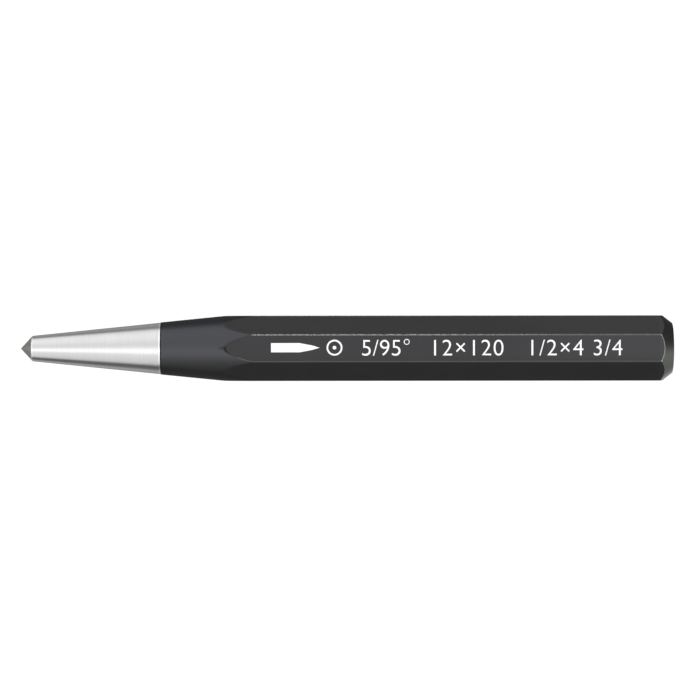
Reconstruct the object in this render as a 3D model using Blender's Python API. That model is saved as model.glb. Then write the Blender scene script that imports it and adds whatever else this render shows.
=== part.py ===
"""Centre punch: a bar of octagonal tool steel with a ground point and a chamfered striking head.

Metres, +Z up. The punch lies along X on one of its eight flats, with the point towards -X
and the head towards +X. The origin is under the middle of the punch, on the surface that
it lies on. The real tool is one piece of steel, so the solids here are its working zones.
"""

import math

import bmesh
import bpy
from mathutils import Matrix, Vector

# The bar
LENGTH = 0.120
ACROSS_FLATS = 0.012
SIDES = 8
EDGE_RADIUS = 0.00028

# The point
POINT_ANGLE = math.radians(95.0)
POINT_BASE_DIAMETER = 0.00472
TIP_RADIUS = 0.0001

# The bright ground taper, measured from the tip to the edge of the lacquer
GROUND_LENGTH = 0.0258
TAPER_END_DIAMETER = 0.0095

# The lacquered neck, a cone that runs out into the flats
LACQUER_FILM = 0.00007
NECK_HALF_ANGLE = math.radians(5.66)
NECK_RUN_OUT = 0.0008

# The striking head
FACE_DIAMETER = 0.0092
CHAMFER_HALF_ANGLE = math.radians(37.7)
RIM_RADIUS = 0.00025
HEAD_RUN_OUT = 0.0003

# Clearance between neighbouring zones, and how much longer than them a cutter is
ZONE_GAP = 0.0003
CUTTER_OVERRUN = 0.002

# Fineness of the round shapes
TURNED_STEPS = 96
ARC_STEPS = 4
WELD_DISTANCE = 1e-7
SMOOTH_ANGLE = math.radians(25.0)


def corner_radius():
    """Distance from the bar's axis to the outside of its rounded long edges."""
    corner_angle = math.pi / SIDES
    return (ACROSS_FLATS / 2 - EDGE_RADIUS) / math.cos(corner_angle) + EDGE_RADIUS


# Places along the axis, from the tip. Each zone ends ZONE_GAP before the next one begins.
TAPER_START = TIP_RADIUS * (1 - math.sin(POINT_ANGLE / 2)) + (
    POINT_BASE_DIAMETER / 2 - TIP_RADIUS * math.cos(POINT_ANGLE / 2)
) / math.tan(POINT_ANGLE / 2)
NECK_START = GROUND_LENGTH
NECK_START_RADIUS = TAPER_END_DIAMETER / 2 + LACQUER_FILM
CONE_END = NECK_START + (corner_radius() - NECK_START_RADIUS) / math.tan(NECK_HALF_ANGLE)
SHANK_START = CONE_END + NECK_RUN_OUT
CHAMFER_LENGTH = (corner_radius() - FACE_DIAMETER / 2) / math.tan(CHAMFER_HALF_ANGLE)
HEAD_START = LENGTH - CHAMFER_LENGTH - HEAD_RUN_OUT


def clear_scene():
    for old in list(bpy.data.objects):
        bpy.data.objects.remove(old, do_unlink=True)


def finish(name, color, roughness, metallic):
    """A Principled material of one plain finish."""
    made = bpy.data.materials.new(name)
    made.use_nodes = True
    shader = made.node_tree.nodes["Principled BSDF"]
    shader.inputs["Base Color"].default_value = (*color, 1.0)
    shader.inputs["Roughness"].default_value = roughness
    shader.inputs["Metallic"].default_value = metallic
    return made


def add_object(name, shape, axis_frame):
    """An object of a finished bmesh, placed by the empty that carries the punch's axis."""
    mesh = bpy.data.meshes.new(name)
    bmesh.ops.recalc_face_normals(shape, faces=shape.faces)
    shape.to_mesh(mesh)
    shape.free()
    mesh.shade_smooth()
    mesh.set_sharp_from_angle(angle=SMOOTH_ANGLE)
    made = bpy.data.objects.new(name, mesh)
    made.parent = axis_frame
    bpy.context.scene.collection.objects.link(made)
    return made


def cone_radius(at, start, start_radius, half_angle):
    """Radius at a place along the axis of a cone that widens from start."""
    return start_radius + (at - start) * math.tan(half_angle)


def arc(centre, radius, from_angle, to_angle):
    """Points of an arc in the plane of a turned outline, both ends included."""
    return [
        (
            centre[0] + radius * math.cos(from_angle + (to_angle - from_angle) * step / ARC_STEPS),
            centre[1] + radius * math.sin(from_angle + (to_angle - from_angle) * step / ARC_STEPS),
        )
        for step in range(ARC_STEPS + 1)
    ]


def turned(name, outline, axis_frame):
    """A solid turned about X. The outline's points are (place along X, radius)."""
    shape = bmesh.new()
    on_axis = [(outline[0][0], 0.0), *outline, (outline[-1][0], 0.0)]
    points = [shape.verts.new((along, 0.0, radius)) for along, radius in on_axis]
    edges = [shape.edges.new(pair) for pair in zip(points, points[1:])]
    bmesh.ops.spin(
        shape,
        geom=points + edges,
        cent=Vector(),
        axis=Vector((1, 0, 0)),
        angle=math.tau,
        steps=TURNED_STEPS,
        use_merge=True,
    )
    bmesh.ops.remove_doubles(shape, verts=shape.verts, dist=WELD_DISTANCE)
    bmesh.ops.dissolve_degenerate(shape, edges=shape.edges, dist=WELD_DISTANCE)
    return add_object(name, shape, axis_frame)


def octagonal_bar(name, start, end, axis_frame):
    """A length of the bar stock, with one flat facing up and its long edges rounded."""
    corner_angle = math.pi / SIDES
    lay_along_x = Matrix.Rotation(math.pi / 2, 4, "Y")
    turn_flat_up = Matrix.Rotation(corner_angle, 4, "X")
    shape = bmesh.new()
    bmesh.ops.create_circle(
        shape,
        cap_ends=True,
        segments=SIDES,
        radius=ACROSS_FLATS / 2 / math.cos(corner_angle),
        matrix=Matrix.Translation((start, 0, 0)) @ turn_flat_up @ lay_along_x,
    )
    grown = bmesh.ops.extrude_face_region(shape, geom=shape.faces[:])["geom"]
    far_end = [piece for piece in grown if isinstance(piece, bmesh.types.BMVert)]
    bmesh.ops.translate(shape, verts=far_end, vec=(end - start, 0, 0))
    long_edges = [
        edge for edge in shape.edges if abs(edge.verts[0].co.x - edge.verts[1].co.x) > (end - start) / 2
    ]
    bmesh.ops.bevel(
        shape,
        geom=long_edges,
        offset=EDGE_RADIUS * math.tan(corner_angle),
        segments=ARC_STEPS,
        profile=0.5,
        affect="EDGES",
    )
    return add_object(name, shape, axis_frame)


def keep_inside(piece, envelope):
    """Leaves only what of a turned piece lies inside the bar."""
    cut = piece.modifiers.new("inside the bar", "BOOLEAN")
    cut.operation = "INTERSECT"
    cut.solver = "EXACT"
    cut.object = envelope


def make_point(axis_frame):
    slope = POINT_ANGLE / 2
    outline = arc((TIP_RADIUS, 0.0), TIP_RADIUS, math.pi, math.pi / 2 + slope)[1:]
    end = TAPER_START - ZONE_GAP
    end_radius = cone_radius(end, TAPER_START, POINT_BASE_DIAMETER / 2, slope)
    return turned("point", [(0.0, 0.0), *outline, (end, end_radius)], axis_frame)


def make_ground_taper(axis_frame):
    slope = math.atan2(
        (TAPER_END_DIAMETER - POINT_BASE_DIAMETER) / 2, GROUND_LENGTH - TAPER_START
    )
    end = NECK_START - ZONE_GAP
    end_radius = cone_radius(end, TAPER_START, POINT_BASE_DIAMETER / 2, slope)
    outline = [(TAPER_START, POINT_BASE_DIAMETER / 2), (end, end_radius)]
    return turned("ground_taper", outline, axis_frame)


def make_neck(axis_frame, bar):
    end = SHANK_START - ZONE_GAP
    end_radius = cone_radius(end, NECK_START, NECK_START_RADIUS, NECK_HALF_ANGLE)
    outline = [(NECK_START, NECK_START_RADIUS), (end, end_radius)]
    neck = turned("neck", outline, axis_frame)
    keep_inside(neck, bar)
    return neck


def make_shank(axis_frame):
    return octagonal_bar("octagonal_shank", SHANK_START, HEAD_START - ZONE_GAP, axis_frame)


def make_striking_head(axis_frame, bar):
    """The chamfered end. Its rim is an arc that meets the chamfer and the face smoothly."""
    slope = CHAMFER_HALF_ANGLE
    set_in = RIM_RADIUS * math.tan((math.pi / 2 - slope) / 2)
    centre = (LENGTH - RIM_RADIUS, FACE_DIAMETER / 2 - set_in)
    rim = arc(centre, RIM_RADIUS, math.pi / 2 - slope, 0.0)
    start_radius = FACE_DIAMETER / 2 + (LENGTH - HEAD_START) * math.tan(slope)
    head = turned("striking_head", [(HEAD_START, start_radius), *rim], axis_frame)
    keep_inside(head, bar)
    return head


def main():
    clear_scene()
    point_steel = finish("point steel", (0.4, 0.405, 0.38), 0.3, 1.0)
    bright_steel = finish("bright ground steel", (0.63, 0.63, 0.628), 0.3, 1.0)
    lacquer = finish("black satin lacquer", (0.043, 0.043, 0.045), 0.42, 0.0)
    gunmetal = finish("gunmetal chamfer", (0.2, 0.21, 0.195), 0.3, 1.0)

    axis_frame = bpy.data.objects.new("punch_axis", None)
    axis_frame.location = (-LENGTH / 2, 0, ACROSS_FLATS / 2)
    bpy.context.scene.collection.objects.link(axis_frame)

    bar = octagonal_bar("bar_envelope", NECK_START - CUTTER_OVERRUN, LENGTH + CUTTER_OVERRUN, axis_frame)
    bar.hide_render = True
    bar.display_type = "WIRE"

    make_point(axis_frame).data.materials.append(point_steel)
    make_ground_taper(axis_frame).data.materials.append(bright_steel)
    make_neck(axis_frame, bar).data.materials.append(lacquer)
    make_shank(axis_frame).data.materials.append(lacquer)
    make_striking_head(axis_frame, bar).data.materials.append(gunmetal)


main()
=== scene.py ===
"""Looks of an octagonal centre punch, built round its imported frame.

Places along the punch are measured from its tip. The bar's axis runs along X, through the
middle of the frame's box, and the flat that carries the marking faces up. Angles round the
bar are measured from straight up, towards the back, which is +Y.
"""

import math

import bmesh
import bpy
from bpy.props import FloatProperty, FloatVectorProperty, PointerProperty, StringProperty
from mathutils import Matrix, Vector


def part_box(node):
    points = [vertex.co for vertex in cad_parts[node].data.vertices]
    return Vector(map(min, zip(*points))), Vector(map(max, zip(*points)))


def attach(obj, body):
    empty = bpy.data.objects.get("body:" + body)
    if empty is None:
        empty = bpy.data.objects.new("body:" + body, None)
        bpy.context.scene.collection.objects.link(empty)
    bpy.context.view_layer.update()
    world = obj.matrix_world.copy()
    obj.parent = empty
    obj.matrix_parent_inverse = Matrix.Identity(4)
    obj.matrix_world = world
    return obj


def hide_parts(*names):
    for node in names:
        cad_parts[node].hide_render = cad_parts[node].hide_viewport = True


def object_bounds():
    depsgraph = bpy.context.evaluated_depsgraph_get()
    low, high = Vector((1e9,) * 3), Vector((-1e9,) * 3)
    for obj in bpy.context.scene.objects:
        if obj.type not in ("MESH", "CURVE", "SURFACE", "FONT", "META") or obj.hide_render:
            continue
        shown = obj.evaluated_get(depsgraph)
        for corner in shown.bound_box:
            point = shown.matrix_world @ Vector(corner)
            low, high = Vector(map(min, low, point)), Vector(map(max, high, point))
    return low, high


bl_info = {
    "name": "Centre Punch",
    "version": (1, 0, 0),
    "blender": (4, 5, 0),
    "location": "View3D > Sidebar > Centre Punch",
    "description": "Ground steel, black lacquer and a filled size marking on an octagonal centre punch",
    "category": "Object",
}

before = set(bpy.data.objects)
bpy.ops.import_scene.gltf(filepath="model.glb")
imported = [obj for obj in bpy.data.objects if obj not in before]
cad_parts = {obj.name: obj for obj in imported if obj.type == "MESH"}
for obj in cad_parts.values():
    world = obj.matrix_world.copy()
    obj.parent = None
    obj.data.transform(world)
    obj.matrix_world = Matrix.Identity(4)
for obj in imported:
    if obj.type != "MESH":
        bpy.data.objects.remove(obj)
cad_low, cad_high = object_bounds()

MM = 0.001
BLACK = (0.0, 0.0, 0.0)
# Near black, used for painted shade at the lacquer's edge and along and beside the neck's run-out
DEEP_SHADE = (0.004, 0.004, 0.004)

# The bar, from the frame
SIDES = 8
CORNER_ANGLE = math.pi / SIDES
LENGTH = cad_high.x - cad_low.x
ACROSS_FLATS = cad_high.z - cad_low.z
CORNER_RADIUS = ACROSS_FLATS / 2 / math.cos(CORNER_ANGLE)
TIP_X = cad_low.x
AXIS_Z = (cad_low.z + cad_high.z) / 2
TOP_FLAT_Z = cad_high.z


def node_start(node):
    """Where a CAD zone begins, measured from the tip."""
    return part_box(node)[0].x - TIP_X


TAPER_START = node_start("ground_taper")
NECK_START = node_start("neck")
SHANK_START = node_start("octagonal_shank")
HEAD_START = node_start("striking_head")

# The seam between point and taper lies on the point's cone, clear of the softened edge
POINT_END = TAPER_START - 0.16 * MM

# The lacquer's rounded edge begins this share of its thickness lower
FILM_DROP = 0.6

# Roughness of the steel
GROUND_ROUGHNESS = (0.24, 0.36)
CHAMFER_ROUGHNESS = 0.3
FACE_ROUGHNESS = 0.6

# Bump depths
GROUND_BUMP = 0.01 * MM
COAT_BUMP = 0.0016 * MM
PAINT_BUMP = 0.003 * MM

# Fineness of the meshes
CORNER_STEPS = 8
TIP_FLAT = 0.01 * MM
WELD_DISTANCE = 1e-7
TEXT_STEPS = 6
PICTOGRAM_RING_STEPS = 48

# The marking. Left ends are measured from the middle of the bar's length.
DIGIT_SHARE_OF_TEXT_SIZE = 0.695
PICTOGRAM_LEFT = -13.8 * MM
POINT_SIZE_LEFT = 2.6 * MM
BAR_SIZE_LEFT = 15.1 * MM
BAR_SIZE_SPACING = 1.06

# The paint reaches a little into the steel around it, so that no gap shows
FILLING_SWELL = 0.01 * MM
FILLING_SHARE_OF_DEPTH = 1.2

# The pictogram, from its left end: a pointed bar, and a ring with a dot
PICTOGRAM_BAR_HALF = 0.85 * MM
PICTOGRAM_BAR_END = 5.2 * MM
PICTOGRAM_TIP_START = 7.6 * MM
PICTOGRAM_TIP_HALF = 0.4 * MM
PICTOGRAM_TIP = 8.9 * MM
PICTOGRAM_RING_CENTRE = 11.6 * MM
PICTOGRAM_RADII = (1.46 * MM, 1.14 * MM, 0.34 * MM)

FLOOR_REACH = 100.0
FLOOR_COLOUR = (0.22, 0.22, 0.22)
FLOOR_ROUGHNESS = 0.9

# The light tent's opening overhead, as angles from straight up and a share of the light
GAP_INSIDE = math.radians(2)
GAP_OUTSIDE = math.radians(10)
GAP_BRIGHTNESS = 0.76

SENSOR_WIDTH = 36.0


def length_property(name, description, default):
    return FloatProperty(name=name, description=description, default=default, unit="LENGTH", precision=6)


def angle_property(name, description, degrees):
    return FloatProperty(name=name, description=description, default=math.radians(degrees), subtype="ANGLE")


def colour_property(name, description, default):
    return FloatVectorProperty(
        name=name, description=description, default=default, subtype="COLOR", size=3, min=0, max=1
    )


def share_property(name, description, default):
    return FloatProperty(name=name, description=description, default=default, subtype="FACTOR", min=0, max=1)


class CentrePunchShape(bpy.types.PropertyGroup):
    """Sizes of the bar's zones"""

    tip_radius: length_property("Tip radius", "Rounding of the very tip", 0.1 * MM)
    point_angle: angle_property("Point angle", "Included angle of the point", 95)
    point_base: length_property("Point base", "Diameter where the point meets the taper", 4.72 * MM)
    point_blend: length_property("Point blend", "Softness of the edge between point and taper", 0.06 * MM)
    taper_end: length_property("Taper end", "Diameter of the taper at the lacquer", 9.5 * MM)
    shoulder_width: length_property("Shoulder width", "Length of the flare that ends the grinding", 0.24 * MM)
    shoulder_rise: length_property("Shoulder rise", "Height of that flare", 0.05 * MM)
    film: length_property("Lacquer film", "Thickness of the lacquer at its edge", 0.07 * MM)
    film_edge: length_property("Film edge", "Length over which the lacquer's edge is rounded", 0.16 * MM)
    neck_angle: angle_property("Neck angle", "Half angle of the neck's cone", 5.66)
    run_out_blend: length_property("Run-out blend", "Softness where the neck meets the flats", 0.11 * MM)
    edge_radius: length_property("Edge radius", "Rounding of the bar's long edges", 0.3 * MM)
    face_diameter: length_property("Face diameter", "Small end of the head's chamfer", 9.2 * MM)
    chamfer_angle: angle_property("Chamfer angle", "Half angle of the head's chamfer", 37.7)
    chamfer_blend: length_property("Chamfer blend", "Softness of the chamfer's edge", 0.08 * MM)
    rim_radius: length_property("Rim radius", "Rounding between chamfer and striking face", 0.25 * MM)


class CentrePunchMarking(bpy.types.PropertyGroup):
    """The marking on the upper flat"""

    point: StringProperty(name="Point", description="Diameter and angle of the point", default="5/95°")
    bar: StringProperty(name="Bar", description="Sizes of the bar", default="12×120   1/2×4 3/4")
    height: length_property("Digit height", "Height of the digits", 2.95 * MM)
    baseline: length_property("Baseline", "Distance of the baseline below the flat's middle", 1.36 * MM)
    depth: length_property("Depth", "Depth of the engraving", 0.12 * MM)
    recess: length_property("Recess", "How far the paint lies below the flat", 0.03 * MM)
    thinning: length_property("Thinning", "How much each stroke is thinned on each side", 0.03 * MM)


class CentrePunchFinish(bpy.types.PropertyGroup):
    """Colours and wear of the steel, the lacquer and the paint"""

    coat: colour_property("Coat", "Colour of the satin black lacquer", (0.043, 0.043, 0.045))
    # A lighter copy of the coat, painted as sheen on the neck's cone
    neck_coat_sheen: colour_property("Neck coat", "Colour of the lacquer on the neck", (0.0635, 0.0645, 0.0705))
    bright_steel: colour_property("Bright steel", "Colour of the ground taper", (0.63, 0.63, 0.628))
    # The point is ground steel like the taper; its darker colour is painted shade, standing in for its darker
    # reflection
    point_steel: colour_property("Point steel", "Colour of the ground point", (0.4, 0.405, 0.38))
    gunmetal: colour_property("Gunmetal", "Colour of the turned chamfer", (0.2, 0.21, 0.195))
    face_steel: colour_property("Face steel", "Colour of the faced striking end", (0.5, 0.505, 0.49))
    # Worn steel at the edges, and also the colour of painted highlights at the edges, the chamfer and the
    # neck's run-out
    worn_edge_and_glint: colour_property("Worn edge", "Steel that shows through at the edges", (0.5, 0.5, 0.5))
    # Painted highlight at the ends of the grinding
    edge_glint: colour_property("Edge glint", "Steel at the ends of the grinding", (0.95, 0.95, 0.95))
    paint: colour_property("Marking paint", "Colour of the filling in the marking", (0.9, 0.9, 0.9))
    coat_roughness: share_property("Coat roughness", "Roughness of the lacquer", 0.42)
    coat_metallic: share_property("Coat metallic", "How metallic the lacquer looks", 0.8)
    # Also sets how strong the painted edge highlight is
    edge_wear_and_glint: share_property("Edge wear", "How strongly steel shows through at the long edges", 0.55)
    # Painted shade on the back of the neck's cone
    back_shade: share_property("Back shade", "How much darker the back of the neck is", 0.42)


class CentrePunchStage(bpy.types.PropertyGroup):
    """The camera, the floor and the backdrop"""

    camera_height: length_property("Camera height", "Height of the camera above the bar's axis", 0.65)
    view_width: length_property("View width", "Width of the view at the bar's axis", 128.3 * MM)
    view_offset: length_property("View offset", "How far the camera stands towards the head", 0.27 * MM)
    view_rise: length_property("View rise", "How far the camera stands towards the back", 0.05 * MM)
    camera_roll: angle_property("Camera roll", "Turn of the camera about its own axis", -0.06)
    floor_glow: FloatProperty(name="Floor glow", description="Light that the floor gives off", default=0.87)
    backdrop: FloatProperty(name="Backdrop", description="Brightness seen behind the punch", default=1.02)


# Node trees


class Formula:
    """A number in a node tree that plain arithmetic can be done with."""

    def __init__(self, tree, socket):
        self.tree = tree
        self.socket = socket

    def apply(self, operation, *others):
        """The result of a Math node."""
        node = self.tree.nodes.new("ShaderNodeMath")
        node.operation = operation
        for place, value in enumerate((self, *others)):
            set_socket(self.tree, node.inputs[place], value)
        return Formula(self.tree, node.outputs[0])

    def __add__(self, other):
        return self.apply("ADD", other)

    def __sub__(self, other):
        return self.apply("SUBTRACT", other)

    def __mul__(self, other):
        return self.apply("MULTIPLY", other)

    def __rmul__(self, other):
        return self * other

    def __truediv__(self, other):
        return self.apply("DIVIDE", other)

    def negative(self):
        return self * -1.0

    def rest(self):
        """What is left of 1."""
        return self.negative() + 1.0

    def size(self):
        """The number without its sign."""
        return self.apply("ABSOLUTE")

    def step(self, low, high, least=0.0, most=1.0):
        """Goes smoothly from least to most as the number goes from low to high, or down to high."""
        node = self.tree.nodes.new("ShaderNodeMapRange")
        node.interpolation_type = "SMOOTHSTEP"
        link_in(self.tree, node, Value=self, From_Min=low, From_Max=high, To_Min=least, To_Max=most)
        return Formula(self.tree, node.outputs["Result"])

    def blend(self, low, high):
        """Goes evenly from low to high as the number goes from 0 to 1."""
        return low * self.rest() + self * high


def set_socket(tree, socket, value):
    """Sets a socket to a plain value, or links it to a Formula or another socket."""
    if isinstance(value, Formula):
        tree.links.new(value.socket, socket)
    elif isinstance(value, bpy.types.NodeSocket):
        tree.links.new(value, socket)
    else:
        socket.default_value = value


def link_in(tree, node, **sockets):
    """Sets or links a node's inputs, named with underscores for spaces."""
    for name, value in sockets.items():
        set_socket(tree, node.inputs[name.replace("_", " ")], value)
    return node


class Nodes:
    """A node tree under construction."""

    def __init__(self, tree):
        self.tree = tree

    def node(self, kind, settings=None, **sockets):
        made = self.tree.nodes.new(kind)
        for name, value in (settings or {}).items():
            setattr(made, name, value)
        return link_in(self.tree, made, **sockets)

    def split(self, vector):
        """A vector's X, Y and Z as formulas."""
        parts = self.node("ShaderNodeSeparateXYZ", Vector=vector)
        return tuple(Formula(self.tree, parts.outputs[axis]) for axis in "XYZ")


# Geometry Nodes: one zone of the bar, swept along its axis and shaped by a rule


class ZoneTree(Nodes):
    """A Geometry Nodes tree that sweeps the bar's section and gives each ring its radius."""

    def __init__(self, name, sizes):
        super().__init__(bpy.data.node_groups.new(name, "GeometryNodeTree"))
        sockets = self.tree.interface
        sockets.new_socket("Geometry", in_out="OUTPUT", socket_type="NodeSocketGeometry")
        for text in ("Start", "End", *sizes):
            sockets.new_socket(text, in_out="INPUT", socket_type="NodeSocketFloat")
        for text in ("Rings", "Columns"):
            sockets.new_socket(text, in_out="INPUT", socket_type="NodeSocketInt")
        sockets.new_socket("Finish", in_out="INPUT", socket_type="NodeSocketMaterial")
        self.inputs = self.tree.nodes.new("NodeGroupInput")

    def value(self, name):
        """One of the tree's inputs."""
        return Formula(self.tree, self.inputs.outputs[name])

    def round_section(self):
        return self.node("GeometryNodeCurvePrimitiveCircle", Resolution=self.value("Columns"), Radius=MM)

    def octagonal_section(self):
        """The bar's section, with one flat up, rounded corners and each flat cut into columns."""
        circle = self.node("GeometryNodeCurvePrimitiveCircle", Resolution=SIDES, Radius=CORNER_RADIUS)
        turned = self.node(
            "GeometryNodeTransform",
            Geometry=circle.outputs["Curve"],
            Rotation=(0, 0, CORNER_ANGLE),
        )
        cut = self.node(
            "GeometryNodeSubdivideCurve", Curve=turned.outputs["Geometry"], Cuts=self.value("Columns")
        )
        return self.node(
            "GeometryNodeFilletCurve",
            {"mode": "POLY"},
            Curve=cut.outputs["Curve"],
            Count=CORNER_STEPS,
            Radius=self.value("Edge Radius"),
        )

    def sweep(self, section, crowd_at_start=False, crowd_at_end=False):
        """Sweeps the section along the axis. Gives each point's place along it and the section's radius."""
        line = self.node("GeometryNodeCurvePrimitiveLine", Start=(0, 0, 0), End=(1, 0, 0))
        rings = self.node(
            "GeometryNodeResampleCurve", Curve=line.outputs["Curve"], Count=self.value("Rings")
        )
        self.swept = self.node(
            "GeometryNodeCurveToMesh",
            Curve=rings.outputs["Curve"],
            Profile_Curve=section.outputs["Curve"],
            Fill_Caps=True,
        )
        place = self.node("GeometryNodeInputPosition")
        share, self.across, self.up = self.split(place.outputs["Position"])
        if crowd_at_end:
            share = (share * (math.pi / 2)).apply("SINE")
        if crowd_at_start:
            share = (share * (math.pi / 2)).apply("COSINE").rest()
        self.along = self.value("Start") + (self.value("End") - self.value("Start")) * share
        self.stock_radius = (self.across * self.across + self.up * self.up).apply("SQRT")
        return self.along, self.stock_radius

    def finish(self, radius, turned_depth=None):
        """Gives each ring its radius, keeps the depth turned off it, and ends the tree."""
        swept = self.swept.outputs["Mesh"]
        if turned_depth is not None:
            swept = self.store(swept, "turned_depth", "FLOAT", "POINT", turned_depth)
        scale = radius / self.stock_radius
        moved = self.node(
            "ShaderNodeCombineXYZ",
            X=self.along + TIP_X,
            Y=self.across * scale,
            Z=self.up * scale + AXIS_Z,
        )
        shaped = self.node("GeometryNodeSetPosition", Geometry=swept, Position=moved.outputs["Vector"])
        unwrapped = self.unwrap(shaped.outputs["Geometry"])
        # The sides are quads, and a cap has more corners than that
        corners = self.node("GeometryNodeInputMeshFaceNeighbors")
        is_side = Formula(self.tree, corners.outputs["Vertex Count"]).apply("LESS_THAN", 5)
        smooth = self.node("GeometryNodeSetShadeSmooth", Geometry=unwrapped, Shade_Smooth=is_side)
        real = self.node("GeometryNodeRealizeInstances", Geometry=smooth.outputs["Geometry"])
        painted = self.node(
            "GeometryNodeSetMaterial",
            Geometry=real.outputs["Geometry"],
            Material=self.inputs.outputs["Finish"],
        )
        self.node("NodeGroupOutput", Geometry=painted.outputs["Geometry"])
        return self.tree

    def unwrap(self, geometry):
        """A UV map whose U runs along the bar, so that grinding marks know their direction."""
        place = self.node("GeometryNodeInputPosition")
        along, across, up = self.split(place.outputs["Position"])
        round_the_bar = across.apply("ARCTAN2", up - AXIS_Z).size() / math.pi
        both = self.node("ShaderNodeCombineXYZ", X=(along - TIP_X) / LENGTH, Y=round_the_bar)
        return self.store(geometry, "UVMap", "FLOAT2", "CORNER", both.outputs["Vector"])

    def store(self, geometry, name, kind, domain, value):
        """The geometry with one more named attribute."""
        kept = self.node(
            "GeometryNodeStoreNamedAttribute",
            {"data_type": kind, "domain": domain},
            Geometry=geometry,
            Name=name,
            Value=value,
        )
        return kept.outputs["Geometry"]


def point_radius(zone, along):
    """A cone with a rounded tip, flat enough at its very end to close the mesh."""
    tip = zone.value("Tip Radius")
    half_angle = zone.value("Point Angle") / 2
    touch = tip - tip * half_angle.apply("SINE")
    touch_radius = tip * half_angle.apply("COSINE")
    ball = (along * (tip * 2 - along)).apply("MAXIMUM", 0.0).apply("SQRT")
    cone = (along - touch) * half_angle.apply("TANGENT") + touch_radius
    on_cone = along.apply("GREATER_THAN", touch)
    return (cone * on_cone + ball * on_cone.rest()).apply("MAXIMUM", TIP_FLAT)


def point_and_taper_radius(zone, along):
    """The point's cone and the taper's, with a softened edge between them."""
    base = zone.value("Point Base") / 2
    slope = (zone.value("Taper End") / 2 - base) / (NECK_START - TAPER_START)
    taper = (along - TAPER_START) * slope + base
    return point_radius(zone, along).apply("SMOOTH_MIN", taper, zone.value("Point Blend"))


POINT_SIZES = ("Tip Radius", "Point Angle", "Point Base", "Point Blend", "Taper End")


def point_tree():
    """The point. Rings crowd together at the tip."""
    zone = ZoneTree("point zone", POINT_SIZES)
    along, _ = zone.sweep(zone.round_section(), crowd_at_start=True)
    return zone.finish(point_and_taper_radius(zone, along))


def taper_tree():
    """The ground taper. Rings crowd together at the point, and it flares a little at the lacquer."""
    zone = ZoneTree("ground taper zone", (*POINT_SIZES, "Shoulder Width", "Shoulder Rise"))
    along, _ = zone.sweep(zone.round_section(), crowd_at_start=True)
    end = zone.value("End")
    shoulder = along.step(end - zone.value("Shoulder Width"), end) * zone.value("Shoulder Rise")
    return zone.finish(point_and_taper_radius(zone, along) + shoulder)


def neck_tree():
    """The neck: a cone that runs out into the bar, with a rounded edge of lacquer where it begins."""
    sizes = ("Edge Radius", "Neck Radius", "Neck Angle", "Run-out Blend", "Film", "Film Edge")
    zone = ZoneTree("neck zone", sizes)
    along, stock = zone.sweep(zone.octagonal_section())
    start = zone.value("Start")
    cone = (along - start) * zone.value("Neck Angle").apply("TANGENT") + zone.value("Neck Radius")
    radius = cone.apply("SMOOTH_MIN", stock, zone.value("Run-out Blend"))
    lowered = zone.value("Film") * along.step(start, start + zone.value("Film Edge"), FILM_DROP, 0.0)
    return zone.finish(radius - lowered, stock - cone)


def shank_tree():
    """A plain length of the bar."""
    zone = ZoneTree("shank zone", ("Edge Radius",))
    _, stock = zone.sweep(zone.octagonal_section())
    return zone.finish(stock)


def head_tree():
    """The chamfered head. Rings crowd together at the rim."""
    sizes = ("Edge Radius", "Face Diameter", "Chamfer Angle", "Chamfer Blend", "Rim Radius")
    zone = ZoneTree("striking head zone", sizes)
    along, stock = zone.sweep(zone.octagonal_section(), crowd_at_end=True)
    end = zone.value("End")
    slope = zone.value("Chamfer Angle")
    rim = zone.value("Rim Radius")
    face = zone.value("Face Diameter") / 2
    chamfer = (end - along) * slope.apply("TANGENT") + face
    set_in = rim * ((slope.negative() + math.pi / 2) / 2).apply("TANGENT")
    from_centre = along - (end - rim)
    arc = (rim * rim - from_centre * from_centre).apply("MAXIMUM", 0.0).apply("SQRT") + (face - set_in)
    on_rim = from_centre.apply("GREATER_THAN", rim * slope.apply("SINE"))
    turned = chamfer * on_rim.rest() + arc * on_rim
    return zone.finish(turned.apply("SMOOTH_MIN", stock, zone.value("Chamfer Blend")), stock - chamfer)


def plain_copy(holder):
    """The evaluated shape of an object that was only needed to make it, as a plain mesh."""
    bpy.context.scene.collection.objects.link(holder)
    graph = bpy.context.evaluated_depsgraph_get()
    mesh = bpy.data.meshes.new_from_object(holder.evaluated_get(graph))
    bpy.data.objects.remove(holder, do_unlink=True)
    return mesh


def linked_object(name, data):
    """A new object in the scene, at the origin."""
    made = bpy.data.objects.new(name, data)
    bpy.context.scene.collection.objects.link(made)
    return made


def tree_result(name, tree, sizes):
    """What the tree makes of the sizes, as an object with a plain mesh."""
    holder = bpy.data.objects.new(name + " holder", bpy.data.meshes.new(name + " seed"))
    modifier = holder.modifiers.new("shape", "NODES")
    modifier.node_group = tree
    for item in tree.interface.items_tree:
        if item.in_out == "INPUT":
            modifier[item.identifier] = sizes[item.name]
    mesh = plain_copy(holder)
    close_up(mesh)
    return linked_object(name, mesh)


def close_up(mesh):
    """Joins the caps to the sides and turns every face outwards."""
    shape = bmesh.new()
    shape.from_mesh(mesh)
    bmesh.ops.remove_doubles(shape, verts=shape.verts, dist=WELD_DISTANCE)
    bmesh.ops.recalc_face_normals(shape, faces=shape.faces)
    shape.to_mesh(mesh)
    shape.free()


# Materials


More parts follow.
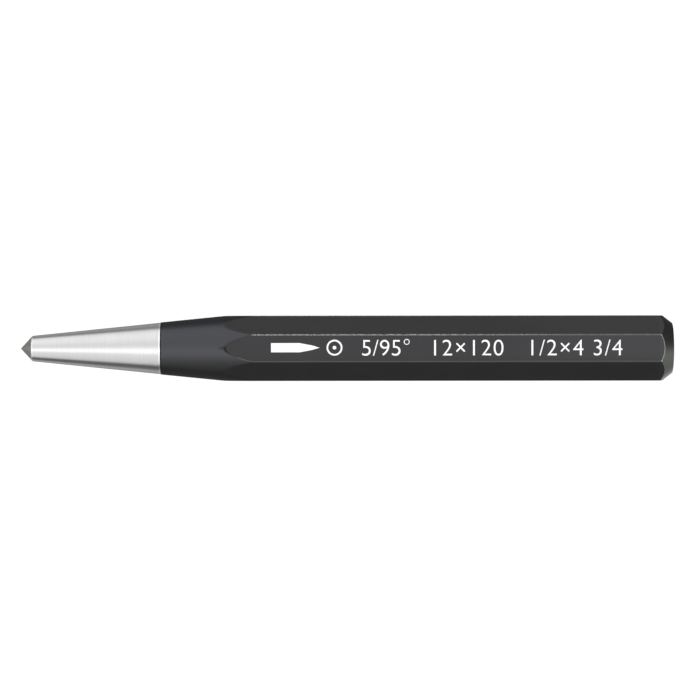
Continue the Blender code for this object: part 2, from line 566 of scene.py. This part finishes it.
class Finish(Nodes):
    """A material whose nodes read Object coordinates."""

    def __init__(self, name, colour, roughness, metallic):
        self.material = bpy.data.materials.new(name)
        self.material.use_nodes = True
        super().__init__(self.material.node_tree)
        self.shader = self.tree.nodes["Principled BSDF"]
        self.shade(Base_Color=(*colour, 1), Roughness=roughness, Metallic=metallic)
        self.place = self.node("ShaderNodeTexCoord").outputs["Object"]
        along, self.across, self.up = self.split(self.place)
        self.from_tip = along - TIP_X

    def shade(self, **sockets):
        """Sets or links inputs of the shader."""
        link_in(self.tree, self.shader, **sockets)

    def noise(self, stretch, detail=2.0):
        """Noise whose grains are as many millimetres long on each axis as stretch says."""
        scale = tuple(1 / (size * MM) for size in stretch)
        scaled = self.node("ShaderNodeMapping", Vector=self.place, Scale=scale)
        made = self.node("ShaderNodeTexNoise", Vector=scaled.outputs["Vector"], Scale=1.0, Detail=detail)
        return Formula(self.tree, made.outputs["Fac"])

    def ring_noise(self, place, width):
        """Turning marks, width millimetres wide: noise along one measure of the turned profile."""
        measure = place / (width * MM)
        made = self.node("ShaderNodeTexNoise", {"noise_dimensions": "1D"}, W=measure, Scale=1.0, Detail=2.0)
        return Formula(self.tree, made.outputs["Fac"])

    def turned_depth(self):
        """How much was turned off the octagonal bar here, or less than nothing on its flats."""
        mark = self.node("ShaderNodeAttribute", {"attribute_name": "turned_depth"})
        return Formula(self.tree, mark.outputs["Fac"])

    def turn(self):
        """Angle round the bar."""
        return self.across.apply("ARCTAN2", self.up - AXIS_Z)

    def on_top_flat(self):
        """1 on the flat that carries the marking, and 0 elsewhere."""
        return self.turn().size().apply("LESS_THAN", CORNER_ANGLE)

    def corner_distance(self):
        """Distance round the bar from the nearest long edge."""
        from_flat = (self.turn() * (SIDES / math.tau)).apply("WRAP", 0.5, -0.5).size()
        return (from_flat.negative() + 0.5) * (math.tau / SIDES * CORNER_RADIUS)

    def bump(self, height, depth):
        made = self.node("ShaderNodeBump", Height=height, Distance=depth)
        self.shade(Normal=made.outputs["Normal"])

    def between(self, value, low, high):
        """A number that goes evenly from low to high as value goes from 0 to 1."""
        ranged = self.node("ShaderNodeMapRange", Value=value, To_Min=low, To_Max=high)
        return Formula(self.tree, ranged.outputs["Result"])

    def mix(self, amount, low, high):
        """A colour between two, by a number from 0 to 1."""
        mixed = self.node("ShaderNodeMix", {"data_type": "RGBA"}, Factor=amount)
        for place, colour in (("A", low), ("B", high)):
            socket = next(s for s in mixed.inputs if s.name == place and s.type == "RGBA")
            linked = isinstance(colour, bpy.types.NodeSocket)
            set_socket(self.tree, socket, colour if linked else (*colour, 1))
        return next(s for s in mixed.outputs if s.type == "RGBA")

    def mottle(self, amount, colour, contrast):
        """The colour made darker and lighter by a contrast, as amount goes from 0 to 1."""
        return self.mix(amount, shaded(colour, 1 - contrast), shaded(colour, 1 + contrast))


def shaded(colour, share):
    """The colour made darker, or lighter where the share is over 1."""
    return tuple(channel * share for channel in colour)


def ground_steel(name, colour, edge_glint, ring_length, anisotropy, contrast):
    """Steel ground while it turned, so its fine marks run round the bar. Its ends are painted brighter, as a
    painted highlight.
    """
    finish = Finish(name, colour, GROUND_ROUGHNESS[0], 1.0)
    tangent = finish.node("ShaderNodeTangent", {"direction_type": "UV_MAP", "uv_map": "UVMap"})
    finish.shade(Anisotropic=anisotropy, Tangent=tangent.outputs["Tangent"])
    fine = finish.noise((ring_length, 9.0, 9.0), detail=3.0)
    coarse = finish.noise((0.33, 6.0, 6.0))
    cloud = finish.noise((2.5, 1.2, 1.2))
    ground = finish.mottle(fine * 0.3 + coarse * 0.5 + cloud * 0.2, colour, contrast)
    from_point = (finish.from_tip - TAPER_START).size()
    # Painted highlight: bright rings at the edge by the point and just before the lacquer
    glint_at_point = from_point.step(0.18 * MM, 0.05 * MM, most=0.7)
    glint_at_lacquer = finish.from_tip.step(NECK_START - 0.32 * MM, NECK_START - 0.2 * MM, most=0.5)
    finish.shade(Base_Color=finish.mix(glint_at_point + glint_at_lacquer, ground, edge_glint))
    finish.shade(Roughness=finish.between(fine, *GROUND_ROUGHNESS))
    finish.bump(fine * 0.4 + coarse, GROUND_BUMP)
    return finish.material


class Coat(Finish):
    """Satin black lacquer on the bar, faintly grained, painted lighter towards the head and darker on the low
    side. Its edges show worn steel with a painted highlight.
    """

    def __init__(self, name, colours):
        roughness = colours.coat_roughness
        super().__init__(name, colours.coat, roughness, colours.coat_metallic)
        self.colours = colours
        self.peel = self.noise((0.22, 0.22, 0.22), detail=3.0)
        self.colour = self.mottle(self.noise((6.0, 3.0, 3.0)), colours.coat, 0.08)
        # Painted shade: this mask is 1 on the low (-Y) side of the bar, which is darkened and kept out of the
        # lighter tones
        self.shaded_low_side = self.across.step(-1.0 * MM, -3.4 * MM)
        # Painted light: the coat is made lighter towards the head, except on the low side
        painted_light_at_head = self.from_tip.step(0.7 * LENGTH, 0.9 * LENGTH) * self.shaded_low_side.rest()
        self.lay(painted_light_at_head, shaded(colours.coat, 1.16))
        self.shade(Roughness=self.between(self.peel, roughness - 0.05, roughness + 0.05))

    def lay(self, amount, colour):
        """Lays another colour over the coat, by a number from 0 to 1."""
        self.colour = self.mix(amount, self.colour, colour)

    def rub_and_highlight(self):
        """Edge wear with a painted highlight: a faint bright line along every long edge, and a broken
        brighter line along the upper edges that stands in for their highlight.
        """
        faint = 0.16
        speck = self.noise((0.3, 0.2, 0.2)).step(0.36, 0.6)
        on_edge = self.corner_distance().step(0.2 * MM, 0.05 * MM, most=self.colours.edge_wear_and_glint)
        past_neck = self.from_tip.step(SHANK_START - 0.9 * MM, SHANK_START - 0.3 * MM)
        fading = self.from_tip.step(0.6 * LENGTH, 0.9 * LENGTH, 1.0, 0.25)
        # Painted highlight: the broken bright line goes only along the upper (+Y) edges, and fades towards
        # the head
        upper = self.across.step(0.0, 1.0 * MM)
        self.lay(on_edge * past_neck * (speck * upper * fading + faint), self.colours.worn_edge_and_glint)

    def finish(self, height):
        """Darkens the lower side with painted shade, and ends the material."""
        self.lay(self.shaded_low_side * 0.12, BLACK)
        self.shade(Base_Color=self.colour)
        self.bump(height, COAT_BUMP)
        return self.material


def shank_finish(colours):
    """Lacquer that is rubbed along the long edges."""
    coat = Coat("shank coat", colours)
    coat.shade(Specular_Tint=(0.5, 0.5, 0.5, 1))
    coat.rub_and_highlight()
    return coat.finish(coat.peel)


def neck_finish(colours):
    """Lacquer on the neck: a painted sheen on the turned cone, painted shade on the back of the cone and at
    the film's edge, and a painted line of shade and highlight at its run-out.
    """
    coat = Coat("neck coat", colours)
    coat.shade(Specular_Tint=(0.5, 0.5, 0.5, 1))
    depth = coat.turned_depth()
    on_cone = depth.step(-0.02 * MM, 0.06 * MM)
    # Painted shade: the back of the cone, from 38 to 56 degrees round the bar, is darkened
    shaded_back = coat.turn().step(math.radians(38), math.radians(56), most=colours.back_shade)
    # Painted sheen: a lighter copy of the coat on the turned cone, kept off the low side
    coat.lay(on_cone * coat.shaded_low_side.rest(), colours.neck_coat_sheen)
    coat.lay(shaded_back * on_cone, BLACK)
    coat.rub_and_highlight()
    shade_run_out_line(coat, depth)
    # Painted shade: a near-black line where the lacquer's edge begins
    shade_at_film_edge = coat.from_tip.step(NECK_START + 0.26 * MM, NECK_START + 0.16 * MM)
    coat.lay(shade_at_film_edge, DEEP_SHADE)
    return coat.finish(coat.peel)


def shade_run_out_line(coat, depth):
    """A line where the neck ends on the top flat, in painted shade and highlight: dark at its tip, bright
    towards the front, with painted shade beside it.
    """
    on_flat = coat.on_top_flat() * coat.across.step(0.5 * MM, 0.2 * MM)
    width = coat.across.step(-1.2 * MM, -0.6 * MM, 0.018 * MM, 0.038 * MM)
    # Painted shade and highlight: a thin line along the run-out, near black at its tip and bright towards the
    # front
    line = (depth + 0.005 * MM).size().step(width, width * 0.3) * on_flat
    bright = coat.across.step(-1.5 * MM, -1.9 * MM)
    darkness = coat.across.step(-1.6 * MM, -0.7 * MM, 0.25, 0.6)
    # Painted shade beside the run-out, towards the tip of the hook
    beside = depth.step(0.16 * MM, 0.05 * MM) * depth.step(0.0, 0.02 * MM)
    shade_beside_run_out = coat.across.step(-0.5 * MM, 0.0, most=0.35)
    coat.lay(beside * on_flat * shade_beside_run_out, DEEP_SHADE)
    coat.lay(line * bright * 0.22, coat.colours.worn_edge_and_glint)
    coat.lay(line * bright.rest() * darkness, DEEP_SHADE)


def head_finish(colours):
    """The same lacquer up to the chamfer, turned gunmetal on the chamfer, and a faced striking end. A painted
    highlight runs along the chamfer's edge on the top flat.
    """
    coat = Coat("head finish", colours)
    coat.rub_and_highlight()
    depth = coat.turned_depth()
    bare = depth.step(0.0, 0.03 * MM)
    on_face = coat.from_tip.step(LENGTH - 0.06 * MM, LENGTH - 0.01 * MM)
    height = coat.up - AXIS_Z
    radius = (coat.across * coat.across + height * height).apply("SQRT")
    rings = coat.ring_noise(coat.from_tip - radius, 0.06)
    feed = coat.ring_noise(radius, 0.22)
    coat.lay(bare, coat.mottle(rings, colours.gunmetal, 0.15))
    coat.lay(on_face, coat.mottle(feed, colours.face_steel, 0.25))
    # Painted highlight: a bright line along the chamfer's edge, on the top flat only, brightest at its
    # corners
    highlight_by_chamfer = depth.size().step(0.09 * MM, 0.03 * MM) * coat.on_top_flat()
    glint_at_corners = coat.corner_distance().step(0.3 * MM, 0.1 * MM, 0.4, 1.0)
    coat.lay(highlight_by_chamfer * glint_at_corners, colours.worn_edge_and_glint)
    coat.shade(Metallic=coat.between(bare, colours.coat_metallic, 1.0))
    turned_roughness = bare.blend(colours.coat_roughness, CHAMFER_ROUGHNESS)
    coat.shade(Roughness=on_face.blend(turned_roughness, FACE_ROUGHNESS))
    return coat.finish(bare.blend(coat.peel, on_face.blend(rings, feed * 2)))


def marking_paint(colours):
    """Matt paint with a fine grain."""
    finish = Finish("marking paint", colours.paint, 0.6, 0.0)
    grain = finish.noise((0.12, 0.12, 0.12))
    finish.shade(Base_Color=finish.mix(grain, shaded(colours.paint, 0.92), colours.paint))
    finish.bump(grain, PAINT_BUMP)
    return finish.material


# Pieces


def zone_sizes(shape):
    """Every size that a zone's tree may ask for, by the name of its input."""
    return {
        "Tip Radius": shape.tip_radius,
        "Point Angle": shape.point_angle,
        "Point Base": shape.point_base,
        "Point Blend": shape.point_blend,
        "Taper End": shape.taper_end,
        "Shoulder Width": shape.shoulder_width,
        "Shoulder Rise": shape.shoulder_rise,
        "Neck Radius": shape.taper_end / 2 + shape.film,
        "Neck Angle": shape.neck_angle,
        "Run-out Blend": shape.run_out_blend,
        "Film": shape.film,
        "Film Edge": shape.film_edge,
        "Edge Radius": shape.edge_radius,
        "Face Diameter": shape.face_diameter,
        "Chamfer Angle": shape.chamfer_angle,
        "Chamfer Blend": shape.chamfer_blend,
        "Rim Radius": shape.rim_radius,
    }


def make_zone(name, tree, span, material, rings, columns):
    """A zone of the bar between two places along it. Columns go round a round zone, or across a flat."""
    sizes = zone_sizes(bpy.context.scene.centre_punch_shape)
    start, end = span
    sizes.update({"Start": start, "End": end, "Rings": rings, "Columns": columns, "Finish": material})
    return tree_result(name, tree, sizes)


def place_on_frame(piece, slot, *nodes):
    """A finished piece moves with the only body and stands for its CAD zone, which it hides. Its slot is not
    used.
    """
    if nodes:
        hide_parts(*nodes)
    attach(piece, "root")


class CENTREPUNCH_OT_point(bpy.types.Operator):
    """Make the ground conical point"""

    bl_idname = "centrepunch.point"
    bl_label = "Point"

    def execute(self, context):
        colours = context.scene.centre_punch_finish
        steel = ground_steel(
            "point steel",
            # Darker than the taper's steel: painted shade
            colours.point_steel,
            colours.edge_glint,
            ring_length=0.05,
            anisotropy=0.5,
            contrast=0.25,
        )
        piece = make_zone("ground_point", point_tree(), (0.0, POINT_END), steel, rings=60, columns=160)
        place_on_frame(piece, "point_steel", "point")
        return {"FINISHED"}


class CENTREPUNCH_OT_ground_taper(bpy.types.Operator):
    """Make the bright ground taper"""

    bl_idname = "centrepunch.ground_taper"
    bl_label = "Ground taper"

    def execute(self, context):
        colours = context.scene.centre_punch_finish
        steel = ground_steel(
            "bright ground steel",
            colours.bright_steel,
            colours.edge_glint,
            ring_length=0.07,
            anisotropy=0.8,
            contrast=0.12,
        )
        span = (POINT_END, NECK_START)
        piece = make_zone("bright_taper", taper_tree(), span, steel, rings=400, columns=160)
        place_on_frame(piece, "taper_steel", "ground_taper")
        return {"FINISHED"}


class CENTREPUNCH_OT_neck(bpy.types.Operator):
    """Make the lacquered neck that runs out into the flats"""

    bl_idname = "centrepunch.neck"
    bl_label = "Neck"

    def execute(self, context):
        coat = neck_finish(context.scene.centre_punch_finish)
        span = (NECK_START, SHANK_START)
        piece = make_zone("lacquered_neck", neck_tree(), span, coat, rings=240, columns=36)
        place_on_frame(piece, "lacquer", "neck")
        return {"FINISHED"}


class CENTREPUNCH_OT_shank(bpy.types.Operator):
    """Make the lacquered octagonal shank"""

    bl_idname = "centrepunch.shank"
    bl_label = "Shank"

    def execute(self, context):
        coat = shank_finish(context.scene.centre_punch_finish)
        span = (SHANK_START, HEAD_START)
        piece = make_zone("lacquered_shank", shank_tree(), span, coat, rings=2, columns=24)
        place_on_frame(piece, "lacquer", "octagonal_shank")
        return {"FINISHED"}


def curve_solid(curve, height):
    """A flat curve or text filled and thickened to a height, half of it below, as a closed mesh."""
    curve.fill_mode = "BOTH"
    curve.extrude = height / 2
    mesh = plain_copy(bpy.data.objects.new("outline", curve))
    close_up(mesh)
    mesh.shade_flat()
    return mesh


def text_outline(words, spacing, marking, swell):
    """A line of digits as a flat curve, its strokes thinned and then grown by swell."""
    curve = bpy.data.curves.new("sizes", "FONT")
    curve.body = words
    curve.size = marking.height / DIGIT_SHARE_OF_TEXT_SIZE
    curve.resolution_u = TEXT_STEPS
    curve.offset = swell - marking.thinning
    curve.space_character = spacing
    return curve


def circle(centre, radius):
    """Points of a circle."""
    spoke = Vector((radius, 0))
    step = math.tau / PICTOGRAM_RING_STEPS
    return [centre + spoke @ Matrix.Rotation(step * i, 2) for i in range(PICTOGRAM_RING_STEPS)]


def pictogram(swell):
    """A bar with a conical point, aimed at a ring with a dot in it, as a flat curve grown by swell."""
    lower = [
        (0, -PICTOGRAM_BAR_HALF),
        (PICTOGRAM_BAR_END, -PICTOGRAM_BAR_HALF),
        (PICTOGRAM_TIP_START, -PICTOGRAM_TIP_HALF),
    ]
    upper = [(along, -height) for along, height in reversed(lower)]
    pointed_bar = [*lower, (PICTOGRAM_TIP, 0), *upper]
    centre = Vector((PICTOGRAM_RING_CENTRE, 0))
    curve = bpy.data.curves.new("pictogram", "CURVE")
    curve.dimensions = "2D"
    curve.offset = swell
    for loop in (pointed_bar, *(circle(centre, radius) for radius in PICTOGRAM_RADII)):
        spline = curve.splines.new("POLY")
        spline.points.add(len(loop) - 1)
        for point, place in zip(spline.points, loop):
            point.co = (*place, 0, 1)
        spline.use_cyclic_u = True
    return curve


def marking_mesh(marking, bottom, top, swell):
    """All of the marking as one mesh, grown a little by swell."""
    baseline = -marking.baseline
    parts = [
        (text_outline(marking.point, 1.0, marking, swell), POINT_SIZE_LEFT, baseline),
        (text_outline(marking.bar, BAR_SIZE_SPACING, marking, swell), BAR_SIZE_LEFT, baseline),
        (pictogram(swell), PICTOGRAM_LEFT, baseline + marking.height / 2),
    ]
    whole = bmesh.new()
    for curve, left, across in parts:
        solid = curve_solid(curve, top - bottom)
        solid.transform(Matrix.Translation((left, across, (bottom + top) / 2)))
        whole.from_mesh(solid)
    mesh = bpy.data.meshes.new("marking")
    whole.to_mesh(mesh)
    whole.free()
    return mesh


def engrave(piece, cutter_mesh):
    """Cuts the marking into a piece, and leaves the piece with a plain mesh."""
    cutter = linked_object("cutter", cutter_mesh)
    groove = piece.modifiers.new("groove", "BOOLEAN")
    groove.operation = "DIFFERENCE"
    groove.solver = "MANIFOLD"
    groove.object = cutter
    graph = bpy.context.evaluated_depsgraph_get()
    mesh = bpy.data.meshes.new_from_object(piece.evaluated_get(graph))
    piece.modifiers.clear()
    piece.data = mesh
    bpy.data.objects.remove(cutter, do_unlink=True)


class CENTREPUNCH_OT_marking(bpy.types.Operator):
    """Engrave the size marking in the shank and fill it with paint"""

    bl_idname = "centrepunch.marking"
    bl_label = "Marking"

    def execute(self, context):
        marking = context.scene.centre_punch_marking
        depth = marking.depth
        cutter = marking_mesh(marking, TOP_FLAT_Z - depth, TOP_FLAT_Z + depth, 0.0)
        engrave(bpy.data.objects["lacquered_shank"], cutter)
        paint_bottom = TOP_FLAT_Z - depth * FILLING_SHARE_OF_DEPTH
        paint = marking_mesh(marking, paint_bottom, TOP_FLAT_Z - marking.recess, FILLING_SWELL)
        paint.materials.append(marking_paint(context.scene.centre_punch_finish))
        place_on_frame(linked_object("marking_filling", paint), "marking_paint")
        return {"FINISHED"}


class CENTREPUNCH_OT_striking_head(bpy.types.Operator):
    """Make the chamfered striking head"""

    bl_idname = "centrepunch.striking_head"
    bl_label = "Striking head"

    def execute(self, context):
        finish = head_finish(context.scene.centre_punch_finish)
        span = (HEAD_START, LENGTH)
        piece = make_zone("chamfered_head", head_tree(), span, finish, rings=130, columns=24)
        place_on_frame(piece, "head_steel", "striking_head")
        return {"FINISHED"}


# Stage


def add_floor(stage):
    """A pale floor under the punch, which glows a little so that it hardly shows a shadow."""
    mesh = bpy.data.meshes.new("floor")
    corners = [(-1, -1), (1, -1), (1, 1), (-1, 1)]
    mesh.from_pydata([(x * FLOOR_REACH, y * FLOOR_REACH, 0) for x, y in corners], [], [(0, 1, 2, 3)])
    finish = Finish("pale floor", FLOOR_COLOUR, FLOOR_ROUGHNESS, 0.0)
    finish.shade(Emission_Color=(1, 1, 1, 1), Emission_Strength=stage.floor_glow)
    mesh.materials.append(finish.material)
    floor = linked_object("floor", mesh)
    floor.visible_glossy = False


# Brightness of the light tent by angle round the bar, in degrees
STUDIO_WALLS = (
    (-180, 0.15),
    (-150, 0.45),
    (-130, 0.55),
    (-112, 0.2),
    (-94, 0.14),
    (-84, 0.55),
    (-74, 1.02),
    (-60, 1.08),
    (-36, 1.08),
    (-26, 1.24),
    (-17, 1.64),
    (-10, 1.62),
    (-1, 1.45),
    (7, 1.12),
    (16, 1.04),
    (45, 1.26),
    (70, 1.42),
    (92, 1.25),
    (102, 0.65),
    (113, 0.34),
    (135, 0.52),
    (155, 0.35),
    (180, 0.15),
)
BRIGHTEST_WALL = 2.0


class LightTent(Nodes):
    """The studio as a world: brightness by direction, X towards the head, Y the back, Z up."""

    def __init__(self):
        self.world = bpy.data.worlds.new("light tent")
        self.world.use_nodes = True
        super().__init__(self.world.node_tree)
        place = self.node("ShaderNodeTexCoord")
        self.along, self.across, self.up = self.split(place.outputs["Generated"])

    def walls(self):
        """The walls along both sides of the bar, by the table. Off the zenith they dim towards the head."""
        turn = self.across.apply("ARCTAN2", self.up) / math.tau + 0.5
        curve = self.node("ShaderNodeFloatCurve", Value=turn)
        line = curve.mapping.curves[0]
        places = [(angle / 360 + 0.5, brightness / BRIGHTEST_WALL) for angle, brightness in STUDIO_WALLS]
        for place in places[1:-1]:
            line.points.new(*place)
        line.points[0].location = places[0]
        line.points[-1].location = places[-1]
        curve.mapping.update()
        dimming = self.along.step(-0.2, 0.0) * self.up.step(0.9, 0.5)
        return Formula(self.tree, curve.outputs["Value"]) * BRIGHTEST_WALL * dimming.blend(1.0, 0.76)

    def lamps(self):
        """Two soft lamps, beyond the tip and over the head, as a share of the walls."""
        at_tip = self.along.step(-0.6, -0.75) * self.up.step(0.15, 0.4)
        at_head = self.along.step(0.2, 0.5) * self.up.step(0.35, 0.6) * self.across.step(0.4, 0.1, most=0.6)
        return at_tip + at_head

    def light(self):
        """The whole tent's brightness: walls and lamps, two dimmer ends, and a gap for the camera."""
        light = self.walls() * (self.lamps() + 1)
        tip_end = self.up.step(-0.03, 0.0, 0.3, 1.2)
        light = self.along.step(-0.75, -0.9).blend(light, tip_end)
        low_front = self.up.step(-0.6, -0.95) * self.across.step(0.0, -0.2, most=0.5)
        head_end = self.across.step(0.14, -0.26, 0.085, 0.555) + low_front
        past_head = (self.along + self.across * 0.3 - self.up * 0.5).step(0.45, 0.75)
        light = past_head.blend(light, head_end)
        return light * self.up.step(math.cos(GAP_INSIDE), math.cos(GAP_OUTSIDE), GAP_BRIGHTNESS, 1.0)

    def finish(self, backdrop):
        """Ends the world. The camera itself sees a plain backdrop."""
        path = self.node("ShaderNodeLightPath")
        seen = Formula(self.tree, path.outputs["Is Camera Ray"])
        background = self.tree.nodes["Background"]
        link_in(self.tree, background, Color=(1, 1, 1, 1), Strength=seen.blend(self.light(), backdrop))
        return self.world


def add_camera(stage):
    """A camera that looks straight down, with its picture as wide as the stage's view width."""
    lens = bpy.data.cameras.new("camera")
    lens.sensor_width = SENSOR_WIDTH
    lens.lens = SENSOR_WIDTH * stage.camera_height / stage.view_width
    camera = linked_object("camera", lens)
    camera.location = (stage.view_offset, stage.view_rise, AXIS_Z + stage.camera_height)
    camera.rotation_euler = (0, 0, stage.camera_roll)
    bpy.context.scene.camera = camera


class CENTREPUNCH_OT_stage(bpy.types.Operator):
    """Set up the floor, the studio light and the camera"""

    bl_idname = "centrepunch.stage"
    bl_label = "Stage"

    def execute(self, context):
        stage = context.scene.centre_punch_stage
        add_floor(stage)
        context.scene.world = LightTent().finish(stage.backdrop)
        add_camera(stage)
        context.scene.view_settings.view_transform = "Standard"
        return {"FINISHED"}


class CENTREPUNCH_PT_panel(bpy.types.Panel):
    """Makes the punch's pieces and its stage"""

    bl_label = "Centre Punch"
    bl_idname = "CENTREPUNCH_PT_panel"
    bl_space_type = "VIEW_3D"
    bl_region_type = "UI"
    bl_category = "Centre Punch"

    def draw(self, context):
        for operator in OPERATORS:
            self.layout.operator(operator.bl_idname)
        for name in GROUPS:
            group = getattr(context.scene, name)
            box = self.layout.box()
            for field in group.__annotations__:
                box.prop(group, field)


GROUPS = {
    "centre_punch_shape": CentrePunchShape,
    "centre_punch_marking": CentrePunchMarking,
    "centre_punch_finish": CentrePunchFinish,
    "centre_punch_stage": CentrePunchStage,
}
OPERATORS = (
    CENTREPUNCH_OT_point,
    CENTREPUNCH_OT_ground_taper,
    CENTREPUNCH_OT_neck,
    CENTREPUNCH_OT_shank,
    CENTREPUNCH_OT_marking,
    CENTREPUNCH_OT_striking_head,
    CENTREPUNCH_OT_stage,
)


def register():
    for made in (*GROUPS.values(), *OPERATORS, CENTREPUNCH_PT_panel):
        bpy.utils.register_class(made)
    for name, group in GROUPS.items():
        setattr(bpy.types.Scene, name, PointerProperty(type=group))


def unregister():
    for name in GROUPS:
        delattr(bpy.types.Scene, name)
    for made in (CENTREPUNCH_PT_panel, *reversed(OPERATORS), *reversed(GROUPS.values())):
        bpy.utils.unregister_class(made)


def main():
    register()
    bpy.ops.centrepunch.point()
    bpy.ops.centrepunch.ground_taper()
    bpy.ops.centrepunch.neck()
    bpy.ops.centrepunch.shank()
    bpy.ops.centrepunch.marking()
    bpy.ops.centrepunch.striking_head()
    bpy.ops.centrepunch.stage()


if __name__ == "__main__":
    main()
